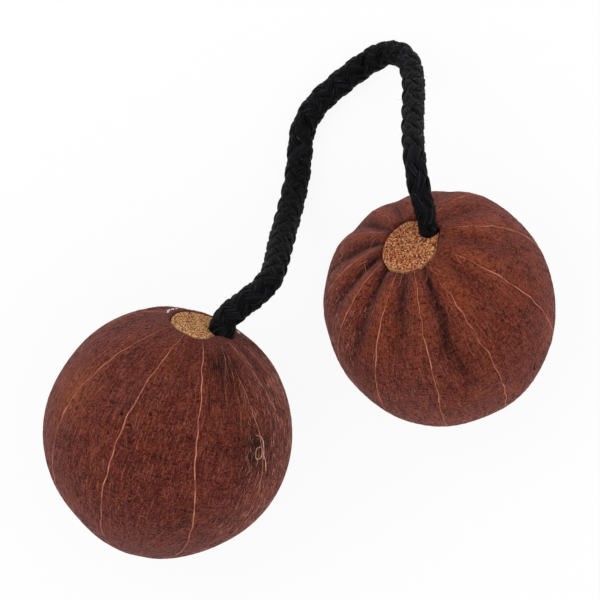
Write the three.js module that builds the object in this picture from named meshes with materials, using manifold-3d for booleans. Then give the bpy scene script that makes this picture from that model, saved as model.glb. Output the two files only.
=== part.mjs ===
// A double ball shaker: two dried, emptied fruit shells on one braided cord. Each shell holds loose seeds,
// and a cork plug closes its mouth beside the cord, which is knotted inside so that it can't pull out.
// Millimetres, +Z up. The balls stand on z = 0 in a row along X, and the cord lies behind them, towards +Y.
import * as THREE from "three";
import { mergeVertices } from "three/addons/utils/BufferGeometryUtils.js";
import Module from "manifold-3d";

const wasm = await Module();
wasm.setup();

// Driving dimensions of the two fruits
const leftRadius = 30.0;
const rightRadius = 28.2;
const ballGap = 13.8;
const shellWall = 1.8;
const leftMouthRadius = 8.3;
const rightMouthRadius = 7.8;
const lipRounding = 0.8;
const lipSteps = 2;

// Each fruit's stem axis, which points out of its mouth: turned from +X towards +Y, then raised
const leftAxisTurn = 47.5;
const leftAxisRise = 18.5;
const rightAxisTurn = 90.5;
const rightAxisRise = 50.6;

// Veins run from the mouth to the blossom end at these angles round the stem axis, with furrows between them
const leftVeins = [-144, -110, -74, -40, -12, 24, 58, 92, 128, 168];
const rightVeins = [-171, -141, -110, -79, -41, -1, 36, 70, 102, 132, 162];
const leftFurrowDepth = 0.45;
const rightFurrowDepth = 1.0;
const furrowDeepest = 30;
const furrowEnd = 84;
const furrowAtLip = 0.4;

// The blossom end swells to a blunt tip
const leftTipHeight = 1.3;
const rightTipHeight = 0.6;
const tipSpread = 24;

// Cork plugs
const corkLength = 9.8;
const corkTaper = 0.7;
const corkChamfer = 0.5;
const corkProud = 0.6;
const corkCrown = 0.4;

// Cord, its place in the mouth and its stopper knots, in which the end is wound back round the cord
const cordDiameter = 5.6;
const leftCordAngle = -14;
const rightCordAngle = 10;
const cordSides = 10;
const cordStepLength = 2.4;
const knotBelowCork = 4.5;
const knotTurns = 2;
const knotPointsPerTurn = 10;
const knotSteps = 66;
const knotSides = 8;
const hookTurn = 220;
const hookDrop = 4.2;
const hookPoints = 5;

// The cord's free route between the two mouths, in the order left ball, loop, right ball
const leftRoute = [
  [-6.7, 20.2, 42.7], [-3.0, 21.0, 42.2], [0.3, 22.0, 40.1], [3.2, 23.6, 36.4], [5.6, 26.2, 30.8],
  [8.0, 29.4, 24.0], [10.7, 32.8, 17.0], [13.8, 36.6, 10.7], [17.0, 40.7, 6.1], [20.0, 45.0, 3.6],
  [22.5, 49.3, 3.0], [24.7, 53.0, 3.0], [28.0, 56.2, 3.0],
];
const loopBend = [32.2, 58.6, 3.0];
const rightRoute = [
  [37.0, 60.1, 3.0], [42.0, 61.4, 3.2], [47.0, 62.3, 4.2], [51.4, 62.4, 6.4], [54.4, 61.0, 9.4],
  [55.6, 58.2, 13.3], [55.0, 54.6, 19.2], [53.2, 50.4, 26.8], [50.6, 45.8, 35.0], [48.0, 41.0, 43.2],
  [45.8, 36.3, 51.2], [44.8, 33.5, 53.7], [43.7, 30.1, 54.9], [42.9, 26.4, 54.9], [42.3, 23.0, 53.7],
];
const loopCupRadius = 3.5;
const endSegments = 14;
const endRings = 10;

// Loose seeds: half length, half width and half thickness of a bean, and how they lie spread at the bottom
const seedHalfLength = 3.4;
const seedHalfWidth = 2.3;
const seedHalfThickness = 2.0;
const seedCurve = 0.7;
const leftSeedCount = 11;
const rightSeedCount = 10;
const seedSpread = 4.5;
const firstSeedPlace = 0.6;
const seedTwist = 1.9;
const seedSegments = 8;
const seedRings = 6;

// Gaps: between pieces that touch, and under a seed, where the faceted wall comes a little closer
const clearance = 0.3;
const seedClearance = 0.35;
const sameVertex = 1e-4;

// Facets of the shells and corks
const shellSegments = 48;
const outerRings = 18;
const innerRings = 11;
const corkSegments = 32;

// Sizes that follow from these
const radians = THREE.MathUtils.degToRad;
const cordRadius = cordDiameter / 2;
const goldenAngle = Math.PI * (3 - Math.sqrt(5));
const rowLength = 2 * leftRadius + ballGap + 2 * rightRadius;

const leftBall = {
  side: "left",
  radius: leftRadius,
  mouthRadius: leftMouthRadius,
  centre: new THREE.Vector3(leftRadius - rowLength / 2, 0, leftRadius),
  axisTurn: radians(leftAxisTurn),
  axisRise: radians(leftAxisRise),
  veins: leftVeins,
  furrowDepth: leftFurrowDepth,
  tipHeight: leftTipHeight,
  cordAngle: radians(leftCordAngle),
  seedCount: leftSeedCount,
};
const rightBall = {
  side: "right",
  radius: rightRadius,
  mouthRadius: rightMouthRadius,
  centre: new THREE.Vector3(rowLength / 2 - rightRadius, 0, rightRadius),
  axisTurn: radians(rightAxisTurn),
  axisRise: radians(rightAxisRise),
  veins: rightVeins,
  furrowDepth: rightFurrowDepth,
  tipHeight: rightTipHeight,
  cordAngle: radians(rightCordAngle),
  seedCount: rightSeedCount,
};

const leftShellMaterial = new THREE.MeshStandardMaterial({ color: 0x5e2f26, roughness: 0.5, metalness: 0 });
const rightShellMaterial = new THREE.MeshStandardMaterial({ color: 0x672f24, roughness: 0.5, metalness: 0 });
const corkMaterial = new THREE.MeshStandardMaterial({ color: 0xa87848, roughness: 0.9, metalness: 0 });
const cordMaterial = new THREE.MeshStandardMaterial({ color: 0x1b1b1d, roughness: 0.85, metalness: 0 });
const seedMaterial = new THREE.MeshStandardMaterial({ color: 0x7a4a2a, roughness: 0.6, metalness: 0 });

// Booleans: a closed geometry becomes a solid, and a solid becomes a geometry again
function toSolid(geometry) {
  const bare = geometry.index ? geometry.toNonIndexed() : geometry.clone();
  bare.deleteAttribute("normal");
  bare.deleteAttribute("uv");
  const merged = mergeVertices(bare, sameVertex);
  const mesh = new wasm.Mesh({
    numProp: 3,
    vertProperties: new Float32Array(merged.attributes.position.array),
    triVerts: new Uint32Array(merged.index.array),
  });
  return new wasm.Manifold(mesh);
}

function toGeometry(solid) {
  const mesh = solid.getMesh();
  const geometry = new THREE.BufferGeometry();
  geometry.setAttribute("position", new THREE.BufferAttribute(new Float32Array(mesh.vertProperties), 3));
  geometry.setIndex(new THREE.BufferAttribute(new Uint32Array(mesh.triVerts), 1));
  geometry.computeVertexNormals();
  return geometry;
}

function namedMesh(name, geometry, material) {
  const mesh = new THREE.Mesh(geometry, material);
  mesh.name = name;
  return mesh;
}

// A revolved solid round +Z from a profile of [distance from the axis, height] points
function revolve(profile, segments) {
  const points = profile.map(([across, height]) => new THREE.Vector2(across, height));
  return new THREE.LatheGeometry(points, segments).rotateX(Math.PI / 2);
}

// A ball's own group: its origin at the ball's centre, its +Z along the stem axis and out of the mouth
function ballGroup(ball) {
  const axis = new THREE.Vector3(
    Math.cos(ball.axisRise) * Math.cos(ball.axisTurn),
    Math.cos(ball.axisRise) * Math.sin(ball.axisTurn),
    Math.sin(ball.axisRise),
  );
  const level = new THREE.Vector3(Math.sin(ball.axisTurn), -Math.cos(ball.axisTurn), 0);
  const steep = new THREE.Vector3().crossVectors(axis, level);
  const group = new THREE.Group();
  group.setRotationFromMatrix(new THREE.Matrix4().makeBasis(level, steep, axis));
  group.position.copy(ball.centre);
  group.updateMatrix();
  return group;
}

// How far a point at this angle is down into the furrow between its two neighbouring veins, from 0 to 1
function furrowShape(angle, veins) {
  const turns = veins.map((vein) => THREE.MathUtils.euclideanModulo(angle - vein, 360));
  const behind = Math.min(...turns);
  const ahead = 360 - Math.max(...turns);
  return Math.sin((Math.PI * behind) / (behind + ahead)) ** 2;
}

// A furrow is part deep at the lip, deepest a little below it, and runs out past the fruit's middle
function furrowFade(polar) {
  const rising = THREE.MathUtils.smoothstep(polar, 0, furrowDeepest);
  const falling = 1 - THREE.MathUtils.smoothstep(polar, furrowDeepest, furrowEnd);
  return THREE.MathUtils.lerp(furrowAtLip, 1, rising) * falling;
}

function outerRadiusAt(ball, polar, angle) {
  const fromTip = (180 - polar) / tipSpread;
  const tip = ball.tipHeight * Math.exp(-fromTip * fromTip);
  return ball.radius + tip - ball.furrowDepth * furrowFade(polar) * furrowShape(angle, ball.veins);
}

// The shell: one wall revolved from the blossom end to the lip and back inside, then furrowed from outside
function shellGeometry(ball) {
  const innerRadius = ball.radius - shellWall;
  const lipAngle = Math.asin((ball.mouthRadius + lipRounding) / ball.radius);
  const innerAngle = Math.asin(ball.mouthRadius / innerRadius);
  const lipHeight = ball.radius * Math.cos(lipAngle);
  const profile = [];
  for (let ring = 0; ring <= outerRings; ring++) {
    const polar = THREE.MathUtils.lerp(Math.PI, lipAngle, ring / outerRings);
    profile.push([ring ? ball.radius * Math.sin(polar) : 0, ball.radius * Math.cos(polar)]);
  }
  for (let step = 1; step <= lipSteps; step++) {
    const turn = ((Math.PI / 2) * step) / lipSteps;
    const inward = lipRounding * (1 - Math.sin(turn));
    profile.push([ball.mouthRadius + inward, lipHeight - lipRounding * (1 - Math.cos(turn))]);
  }
  for (let ring = 0; ring <= innerRings; ring++) {
    const polar = THREE.MathUtils.lerp(innerAngle, Math.PI, ring / innerRings);
    profile.push([ring < innerRings ? innerRadius * Math.sin(polar) : 0, innerRadius * Math.cos(polar)]);
  }
  const geometry = revolve(profile, shellSegments);
  const place = geometry.attributes.position;
  const point = new THREE.Vector3();
  for (let i = 0; i < place.count; i++) {
    point.fromBufferAttribute(place, i);
    const below = ball.radius - point.length();
    if (below < 2 * lipRounding) {
      const polar = THREE.MathUtils.radToDeg(Math.acos(point.z / point.length()));
      const angle = THREE.MathUtils.radToDeg(Math.atan2(point.y, point.x));
      point.setLength(outerRadiusAt(ball, polar, angle) - below);
      place.setXYZ(i, point.x, point.y, point.z);
    }
  }
  geometry.computeVertexNormals();
  return geometry;
}

function mouthHeight(ball) {
  return Math.sqrt(ball.radius ** 2 - ball.mouthRadius ** 2);
}

// How far from the stem axis the cord passes the mouth, against its edge
function cordOffset(ball) {
  return ball.mouthRadius - clearance - cordRadius;
}

// A point on the cord's line through the mouth, at a height above the ball's centre, in the ball's own frame
function cordLinePoint(ball, height) {
  const offset = cordOffset(ball);
  return new THREE.Vector3(offset * Math.cos(ball.cordAngle), offset * Math.sin(ball.cordAngle), height);
}

// How much higher one edge of a cord end stands where the end leans with the fruit's rounded surface
function exitLean(ball) {
  return (cordRadius * cordOffset(ball)) / ball.radius;
}

// The height at which the cord comes out of the mouth, all round its edge below the fruit's rounded surface
function exitHeight(ball) {
  return Math.sqrt(ball.radius ** 2 - cordOffset(ball) ** 2) - exitLean(ball);
}

// The cork: a tapered plug with a crowned face that stands proud, notched along its side for the cord
function corkGeometry(ball) {
  const wide = ball.mouthRadius - clearance;
  const narrow = wide - corkTaper;
  const top = mouthHeight(ball) + corkProud;
  const plug = revolve(
    [
      [0, top - corkLength],
      [narrow - corkChamfer, top - corkLength],
      [narrow, top - corkLength + corkChamfer],
      [wide, top - corkChamfer],
      [wide - corkChamfer, top],
      [0, top + corkCrown],
    ],
    corkSegments,
  );
  const notch = new THREE.CylinderGeometry(
    cordRadius + clearance,
    cordRadius + clearance,
    2 * corkLength,
    corkSegments,
  );
  const line = cordLinePoint(ball, top - corkLength / 2);
  notch.rotateX(Math.PI / 2).translate(line.x, line.y, line.z);
  return toGeometry(toSolid(plug).subtract(toSolid(notch)));
}

// A round tube along a smooth curve through points
function tubeGeometry(points, sides, steps) {
  const section = new THREE.Shape();
  for (let i = 0; i < sides; i++) {
    const turn = (2 * Math.PI * i) / sides;
    section[i ? "lineTo" : "moveTo"](cordRadius * Math.cos(turn), cordRadius * Math.sin(turn));
  }
  const path = new THREE.CatmullRomCurve3(points, false, "centripetal");
  const stepCount = steps ?? Math.ceil(path.getLength() / cordStepLength);
  return new THREE.ExtrudeGeometry(section, { steps: stepCount, extrudePath: path });
}

// A stopper knot: the cord runs in past the cork, hooks outwards and winds back round itself
function knotPoints(ball, topHeight) {
  const pitch = cordDiameter + 2 * clearance;
  const woundRadius = cordDiameter + 2 * clearance;
  const knotTop = mouthHeight(ball) + corkProud - corkLength - knotBelowCork;
  const knotBottom = knotTop - knotTurns * pitch;
  const line = cordLinePoint(ball, 0);
  const points = [topHeight, (topHeight + knotTop) / 2, knotTop, (knotTop + knotBottom) / 2, knotBottom].map(
    (height) => new THREE.Vector3(line.x, line.y, height),
  );
  for (let i = 1; i <= hookPoints; i++) {
    const along = i / hookPoints;
    const out = woundRadius * Math.sin((Math.PI / 2) * along);
    const height = knotBottom - hookDrop * Math.sin(Math.PI * along);
    points.push(onKnot(line, radians(hookTurn) * along, out, height));
  }
  for (let i = 1; i <= knotTurns * knotPointsPerTurn; i++) {
    const turns = i / knotPointsPerTurn;
    const turn = radians(hookTurn + 360 * turns);
    points.push(onKnot(line, turn, woundRadius, knotBottom + pitch * turns));
  }
  return points;
}

function onKnot(line, turn, out, height) {
  return new THREE.Vector3(line.x + out * Math.cos(turn), line.y + out * Math.sin(turn), height);
}

// The least gap between the surfaces of two stretches of a tube that are well apart along it
function leastSelfGap(points) {
  const sampleCount = 400;
  const farEnough = 2.2 * cordDiameter;
  const samples = new THREE.CatmullRomCurve3(points, false, "centripetal").getSpacedPoints(sampleCount);
  const apart = Math.ceil(farEnough / samples[0].distanceTo(samples[1]));
  let least = Infinity;
  for (let i = 0; i < samples.length; i++) {
    for (let j = i + apart; j < samples.length; j++) {
      least = Math.min(least, samples[i].distanceTo(samples[j]) - cordDiameter);
    }
  }
  return least;
}

// A bean: an ellipsoid, curved along its length, whose flat side lies against the wall
function seedGeometry() {
  const geometry = new THREE.SphereGeometry(1, seedSegments, seedRings);
  geometry.rotateX(Math.PI / 2).rotateY(Math.PI / 2);
  const place = geometry.attributes.position;
  for (let i = 0; i < place.count; i++) {
    const along = place.getX(i);
    place.setXYZ(
      i,
      seedHalfLength * along,
      seedHalfWidth * place.getY(i) + seedCurve * (along * along - 0.5),
      seedHalfThickness * place.getZ(i),
    );
  }
  geometry.computeVertexNormals();
  return geometry;
}

// The seeds lie in one layer on the lowest part of the inner wall, spread like seeds on a flower head
function addSeeds(parent, ball) {
  const seat = ball.radius - shellWall - seedClearance - seedHalfThickness;
  for (let i = 0; i < ball.seedCount; i++) {
    const across = seedSpread * Math.sqrt(i + firstSeedPlace);
    const turn = i * goldenAngle;
    const down = Math.sqrt(seat ** 2 - across ** 2);
    const outward = new THREE.Vector3(across * Math.cos(turn), across * Math.sin(turn), -down);
    const name = `seed_${ball.side}_${String(i + 1).padStart(2, "0")}`;
    const seed = namedMesh(name, seedGeometry(), seedMaterial);
    seed.position.copy(ball.centre).add(outward);
    seed.quaternion.setFromUnitVectors(new THREE.Vector3(0, 0, -1), outward.clone().normalize());
    seed.rotateZ(i * seedTwist);
    parent.add(seed);
  }
}

const shaker = new THREE.Group();

const leftGroup = ballGroup(leftBall);
leftGroup.add(namedMesh("left_shell", shellGeometry(leftBall), leftShellMaterial));
leftGroup.add(namedMesh("left_cork", corkGeometry(leftBall), corkMaterial));
shaker.add(leftGroup);

const rightGroup = ballGroup(rightBall);
rightGroup.add(namedMesh("right_shell", shellGeometry(rightBall), rightShellMaterial));
rightGroup.add(namedMesh("right_cork", corkGeometry(rightBall), corkMaterial));
shaker.add(rightGroup);

// Each knot reaches up to the fruit's surface, where the free cord begins
for (const [ball, group] of [[leftBall, leftGroup], [rightBall, rightGroup]]) {
  const points = knotPoints(ball, exitHeight(ball));
  console.log(`${ball.side} stopper knot: least gap to itself ${leastSelfGap(points).toFixed(2)} mm`);
  const knot = tubeGeometry(points, knotSides, knotSteps);
  group.add(namedMesh(`${ball.side}_stopper_knot`, knot, cordMaterial));
}

addSeeds(shaker, leftBall);
addSeeds(shaker, rightBall);

// The free cord swings on the left mouth about a round end, and opens at the loop about a second one
const leftPivot = cordLinePoint(leftBall, exitHeight(leftBall) + cordRadius + clearance);
leftPivot.applyMatrix4(leftGroup.matrix);
const loopPoint = new THREE.Vector3(...loopBend);
const rightStart = cordLinePoint(rightBall, exitHeight(rightBall) + exitLean(rightBall) + clearance);
rightStart.applyMatrix4(rightGroup.matrix);
const rightStraight = rightStart.clone().sub(rightBall.centre).setLength(cordRadius).add(rightStart);

function roundEnd(centre, radius) {
  return new THREE.SphereGeometry(radius, endSegments, endRings).translate(centre.x, centre.y, centre.z);
}

const leftPoints = [leftPivot, ...leftRoute.map((point) => new THREE.Vector3(...point)), loopPoint];
const leftCord = toSolid(tubeGeometry(leftPoints, cordSides))
  .add(toSolid(roundEnd(leftPivot, cordRadius)))
  .subtract(toSolid(roundEnd(loopPoint, loopCupRadius)));
shaker.add(namedMesh("cord_left", toGeometry(leftCord), cordMaterial));

const rightPoints = [
  loopPoint,
  ...rightRoute.map((point) => new THREE.Vector3(...point)),
  rightStraight,
  rightStart,
];
const rightCord = toSolid(tubeGeometry(rightPoints, cordSides)).add(toSolid(roundEnd(loopPoint, cordRadius)));
shaker.add(namedMesh("cord_right", toGeometry(rightCord), cordMaterial));

export default shaker;
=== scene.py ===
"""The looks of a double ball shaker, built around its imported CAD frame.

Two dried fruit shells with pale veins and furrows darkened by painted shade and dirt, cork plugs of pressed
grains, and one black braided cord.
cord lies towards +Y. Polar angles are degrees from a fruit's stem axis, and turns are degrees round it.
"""

import math
from dataclasses import dataclass

import bmesh
import bpy
import numpy as np
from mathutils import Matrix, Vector, noise


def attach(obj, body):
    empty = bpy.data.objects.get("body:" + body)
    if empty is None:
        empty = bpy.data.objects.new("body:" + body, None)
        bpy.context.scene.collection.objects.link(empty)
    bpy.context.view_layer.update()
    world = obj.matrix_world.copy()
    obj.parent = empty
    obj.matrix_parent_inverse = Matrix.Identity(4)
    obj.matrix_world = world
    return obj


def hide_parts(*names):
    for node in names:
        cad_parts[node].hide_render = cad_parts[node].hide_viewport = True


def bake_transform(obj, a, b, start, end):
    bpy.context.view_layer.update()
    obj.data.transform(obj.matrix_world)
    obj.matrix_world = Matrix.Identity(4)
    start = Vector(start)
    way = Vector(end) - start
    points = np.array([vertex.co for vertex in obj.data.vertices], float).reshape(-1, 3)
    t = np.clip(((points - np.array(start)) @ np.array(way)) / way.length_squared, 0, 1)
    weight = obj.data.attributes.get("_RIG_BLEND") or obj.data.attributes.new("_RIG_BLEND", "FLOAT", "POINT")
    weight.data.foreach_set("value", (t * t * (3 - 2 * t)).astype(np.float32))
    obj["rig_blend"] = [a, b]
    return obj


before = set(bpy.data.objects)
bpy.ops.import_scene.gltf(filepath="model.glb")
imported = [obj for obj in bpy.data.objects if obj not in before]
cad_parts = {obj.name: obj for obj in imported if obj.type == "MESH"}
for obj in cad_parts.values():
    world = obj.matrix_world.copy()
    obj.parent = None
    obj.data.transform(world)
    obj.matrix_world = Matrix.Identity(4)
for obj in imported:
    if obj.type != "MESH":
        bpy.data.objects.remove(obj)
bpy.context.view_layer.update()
chance = np.random.default_rng(11)

MM = 0.001

# The two fruits, with the main sizes of the CAD part
BALL_GAP = 13.8 * MM
LEFT_RADIUS = 30.0 * MM
RIGHT_RADIUS = 28.2 * MM
SHELL_WALL = 1.8 * MM
LIP_ROUNDING = 0.8 * MM
FURROW_DEEPEST = 30
FURROW_END = 84
FURROW_AT_LIP = 0.4
CREASE_ROUNDING = 0.02
TIP_SPREAD = 24
LUMP_SPREAD = 0.07
WAVE_HEIGHT = 0.06 * MM
EVEN_UP_TO = 16
UNEVEN_FROM = 34
MOUTH_ROUNDING = 9
CLEARANCE = 0.3 * MM

# Cork plugs. CORK_PROUD is that of the solids, and sets where the knots are
CORK_LENGTH = 9.8 * MM
CORK_TAPER = 0.7 * MM
CORK_PROUD = 0.6 * MM
CORK_CROWN = 0.4 * MM
CORK_GRAIN = 0.4 * MM
CORK_ROUGHNESS = 0.2 * MM
CORK_EDGE_DROP = 0.35 * MM
CORK_EDGE_FROM = 0.93
CORK_RINGS = 72
CORK_SEGMENTS = 280

# Cord: its route between the two mouths, and the winding of its stopper knots
CORD_DIAMETER = 5.6 * MM
KNOT_BELOW_CORK = 4.5 * MM
KNOT_TURNS = 2
HOOK_TURN = 220
HOOK_DROP = 4.2 * MM
KNOT_SWELL_OVER = 4 * MM
CORD_INTO_MOUTH = 4 * MM
RIGHT_CORD_INTO_MOUTH = 2.5 * MM
LEFT_ROUTE = np.array([
    (-6.7, 20.2, 42.7), (-3.0, 21.0, 42.2), (0.3, 22.0, 40.1), (3.2, 23.6, 36.4), (5.6, 26.2, 30.8),
    (8.0, 29.4, 24.0), (10.7, 32.8, 17.0), (13.8, 36.6, 10.7), (17.0, 40.7, 6.1), (20.0, 45.0, 3.6),
    (22.5, 49.3, 3.0), (24.7, 53.0, 3.0), (28.0, 56.2, 3.0),
]) * MM
LOOP_BEND = np.array((32.2, 58.6, 3.0)) * MM
LOOP_WAY = np.array((0.909, -0.417, 0.0))
RIGHT_ROUTE = np.array([
    (37.0, 60.1, 3.0), (42.0, 61.4, 3.2), (47.0, 62.3, 4.2), (51.4, 62.4, 6.4), (54.4, 61.0, 9.4),
    (55.6, 58.2, 13.3), (55.0, 54.6, 19.2), (53.2, 50.4, 26.8), (50.6, 45.8, 35.0), (48.0, 41.0, 43.2),
    (45.8, 36.3, 51.2), (44.8, 33.5, 53.7), (43.7, 30.1, 54.9), (42.9, 26.4, 54.9), (42.3, 23.0, 53.7),
]) * MM
PIECES_MEET_AT = LEFT_ROUTE[6]
CURVE_STEPS = 24

# How thick the cord is at shares of its way from the left mouth to the right one
SWELL_PLACES = (0, 0.06, 0.14, 0.25, 0.45, 0.56, 0.64, 0.8, 0.94, 0.98, 1)
SWELL_SIZES = (1.12, 1.08, 1.04, 1.13, 1.1, 1.12, 1.0, 0.95, 0.93, 0.79, 0.78)

# How far each cord piece blends before and after its joint
SWING_BLEND = (2 * MM, 16 * MM)
BEND_BLEND = (5.5 * MM, 8.0 * MM)

# Braid: four strands each way round, which cross over and under each other
STRANDS_EACH_WAY = 4
LEFT_BRAID_PITCH = 21.0 * MM
RIGHT_BRAID_PITCH = 28.0 * MM
BRAID_RADIUS = 2.0 * MM
CROSSING_HEIGHT = 0.32 * MM
STRAND_HALF_WIDTH = 1.42 * MM
STRAND_HALF_HEIGHT = 0.64 * MM
STRAND_SIDES = 24
YARNS_IN_STRAND = 6
YARN_DEPTH = 0.1
BRAID_STEP = 0.4 * MM
CORE_RADIUS = 1.75 * MM
HAIR_COUNT = 130
HAIR_FOOT = 2.45 * MM
HAIR_CURL = 0.35
HAIR_POINTS = 5

# Fineness of the shell skins
SHELL_SEGMENTS = 360
SHELL_RINGS = 180
INNER_RINGS = 24
LIP_STEPS = 6

# Veins: the polar angles of their three turns, and the steps along them
VEIN_TURNS_AT = (20, 80, 140)
VEIN_STEP = 0.6
VEIN_SMOOTHING = 20
VEIN_WANDER = 0.22

# Fibres of the skin: the turns of those all round, and the usual shortest and longest one
ALL_ROUND = (-180, 180)
SHORT_FIBRE = (0.8 * MM, 3.0 * MM)

# Marks on the left fruit by polar angle and turn: a healed scar beside a vein, and a dark smudge, a stain
# and an orange patch with their spread. The right fruit has a crack
SCAR_POLAR = 72.3
SCAR_ANGLE = -38.6
SCAR_RING = (3.0, 2.2)
SMUDGE = (70.5, -40.3, 5.4 * MM)
STAIN = (32, -57, 5.5 * MM)
STAIN_STRENGTH = 0.55
ORANGE_PATCH = (71, -146, 6.0 * MM)
CRACK_POLAR = 102.5
CRACK_ANGLE = -60
CRACK_LENGTH = 3.2

# Flakes of dry glue at the left mouth: polar angle, turn and size
GLUE_FLAKES = (
    (18.6, 22.0, 0.62), (16.6, 172.0, 0.4), (17.2, 164.0, 0.5),
    (17.6, 156.0, 0.34), (18.0, 147.0, 0.45), (18.4, 138.0, 0.3),
)
GLUE_LIFT = 0.05 * MM


def srgb(red, green, blue):
    """A colour as a picture shows it, from 0 to 255, as the linear colour that a shader takes."""
    shares = [value / 255 for value in (red, green, blue)]
    linear = [s / 12.92 if s <= 0.04045 else ((s + 0.055) / 1.055) ** 2.4 for s in shares]
    return (*linear, 1.0)


@dataclass
class Vein:
    """A vein by its turn beside the mouth, at the middle and far down, and the polar angle where it ends.

    Furrow is how deep the furrow on its way to the next vein is and how strong its painted shade and dirt
    are, and reach how far down that painted shade and dirt go.
    """

    near: float
    middle: float
    far: float
    furrow: float = 0.3
    reach: float = 60
    end: float = 158
    half_width: float = 0.115 * MM


@dataclass
class Ball:
    """One fruit: its stem axis out of the mouth, its veins and the furrows between them.

    Mouth lists turns, with how far in millimetres the hand-cut edge is from the stem axis there. Lumps are
    angles round the upright through the ball's centre, with the height of a swelling or a flat there.
    """

    side: str
    body: str
    radius: float
    mouth_radius: float
    middle_x: float
    axis_turn: float
    axis_rise: float
    furrow_depth: float
    tip_height: float
    cord_angle: float
    notch_radius: float
    mouth: list
    cork_proud: float
    veins: list
    lumps: list

    @property
    def centre(self):
        return np.array((self.middle_x, 0.0, self.radius))

    @property
    def basis(self):
        """Rows: level across the stem axis, steep across it, and the axis itself."""
        turn, rise = math.radians(self.axis_turn), math.radians(self.axis_rise)
        axis = np.array((math.cos(rise) * math.cos(turn), math.cos(rise) * math.sin(turn), math.sin(rise)))
        level = np.array((math.sin(turn), -math.cos(turn), 0.0))
        return np.array((level, np.cross(axis, level), axis))

    def to_frame(self, points):
        return self.centre + np.asarray(points) @ self.basis

    @property
    def cord_way(self):
        """From the stem axis to the cord, level with the mouth."""
        turn = math.radians(self.cord_angle)
        return np.array((math.cos(turn), math.sin(turn), 0.0))

    @property
    def mouth_height(self):
        return math.sqrt(self.radius**2 - self.mouth_radius**2)

    @property
    def cord_offset(self):
        return self.mouth_radius - CLEARANCE - CORD_DIAMETER / 2


row_length = 2 * LEFT_RADIUS + BALL_GAP + 2 * RIGHT_RADIUS
left = Ball(
    side="left",
    body="left_ball",
    radius=LEFT_RADIUS,
    mouth_radius=8.3 * MM,
    middle_x=LEFT_RADIUS - row_length / 2,
    axis_turn=47.5,
    axis_rise=18.5,
    furrow_depth=0.45 * MM,
    tip_height=1.3 * MM,
    cord_angle=-14,
    notch_radius=2.8 * MM,
    mouth=[
        (-135, 8.2), (-90, 8.7), (-76, 8.2), (-60, 6.4), (-44, 5.9), (-14, 8.3),
        (25, 7.5), (70, 8.4), (115, 8.3), (150, 7.6), (180, 7.4),
    ],
    cork_proud=-0.1 * MM,
    veins=[
        Vein(-133, -144, -147),
        Vein(-108, -110, -110, end=166),
        Vein(-79, -73, -54, furrow=0.7),
        Vein(-51, -33.5, -32, furrow=0.5, end=150),
        Vein(-36, -10, 4, end=62, half_width=0.09 * MM),
        Vein(20, 24, 26),
        Vein(55, 58, 64, end=150),
        Vein(94, 92, 86),
        Vein(130, 128, 124, end=162),
        Vein(172, 168, 166),
    ],
    lumps=[(63, 0.6 * MM), (122, -0.45 * MM), (198, -0.45 * MM), (263, -0.35 * MM)],
)
right = Ball(
    side="right",
    body="right_ball",
    radius=RIGHT_RADIUS,
    mouth_radius=7.8 * MM,
    middle_x=row_length / 2 - RIGHT_RADIUS,
    axis_turn=90.5,
    axis_rise=50.6,
    furrow_depth=1.75 * MM,
    tip_height=0.6 * MM,
    cord_angle=10,
    notch_radius=2.25 * MM,
    mouth=[
        (-155, 9.0), (-118, 8.2), (-75, 7.3), (-42, 6.5), (-22, 6.1),
        (10, 7.3), (40, 6.0), (78, 6.9), (115, 6.5), (155, 7.1),
    ],
    cork_proud=0.0,
    veins=[
        Vein(-167, -170, -168, furrow=1.0, reach=105),
        Vein(-137, -142, -147, furrow=0.85, reach=75),
        Vein(-108, -110, -117, furrow=1.0, reach=100),
        Vein(-83, -79, -81),
        Vein(-46, -40, -34),
        Vein(-4, -2, -4, furrow=0.4, end=120),
        Vein(34, 36, 40, furrow=0.5),
        Vein(70, 70, 66, furrow=0.55, end=150),
        Vein(104, 102, 104, furrow=1.0, reach=70),
        Vein(130, 132, 136, furrow=1.0, reach=85),
        Vein(163, 165, 168, furrow=1.0, reach=95),
    ],
    lumps=[
        (43, 0.5 * MM), (129, 0.4 * MM), (245, 0.4 * MM), (285, 0.45 * MM),
        (173, -0.6 * MM), (203, -0.4 * MM), (-12, -0.55 * MM),
    ],
)


# Meshes


class Parts:
    """Vertices, faces and point attributes of several closed forms that make one mesh."""

    def __init__(self):
        self.vertices, self.faces, self.flat, self.slots = [], [], [], []
        self.attributes = {}
        self.count = 0

    def add(self, vertices, faces, flat_faces=(), slot=0, **attributes):
        self.vertices.append(vertices)
        for group, is_flat in ((faces, False), (flat_faces, True)):
            self.faces += [[corner + self.count for corner in face] for face in group]
            self.flat += [is_flat] * len(group)
            self.slots += [slot] * len(group)
        for name, values in attributes.items():
            self.attributes.setdefault(name, []).append(values)
        self.count += len(vertices)

    def make(self, name, *materials):
        mesh = bpy.data.meshes.new(name)
        mesh.from_pydata(np.concatenate(self.vertices).tolist(), [], self.faces)
        for polygon, is_flat, slot in zip(mesh.polygons, self.flat, self.slots):
            polygon.use_smooth = not is_flat
            polygon.material_index = slot
        for key, values in self.attributes.items():
            add_attribute(mesh, key, np.concatenate(values))
        return new_piece(name, mesh, *materials)


def add_attribute(mesh, name, values):
    values = np.asarray(values, np.float32)
    if values.ndim == 1:
        mesh.attributes.new(name, "FLOAT", "POINT").data.foreach_set("value", values)
    else:
        mesh.attributes.new(name, "FLOAT_VECTOR", "POINT").data.foreach_set("vector", values.ravel())


def new_piece(name, mesh, *materials):
    for material in materials:
        mesh.materials.append(material)
    piece = bpy.data.objects.new(name, mesh)
    bpy.context.scene.collection.objects.link(piece)
    return piece


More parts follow.
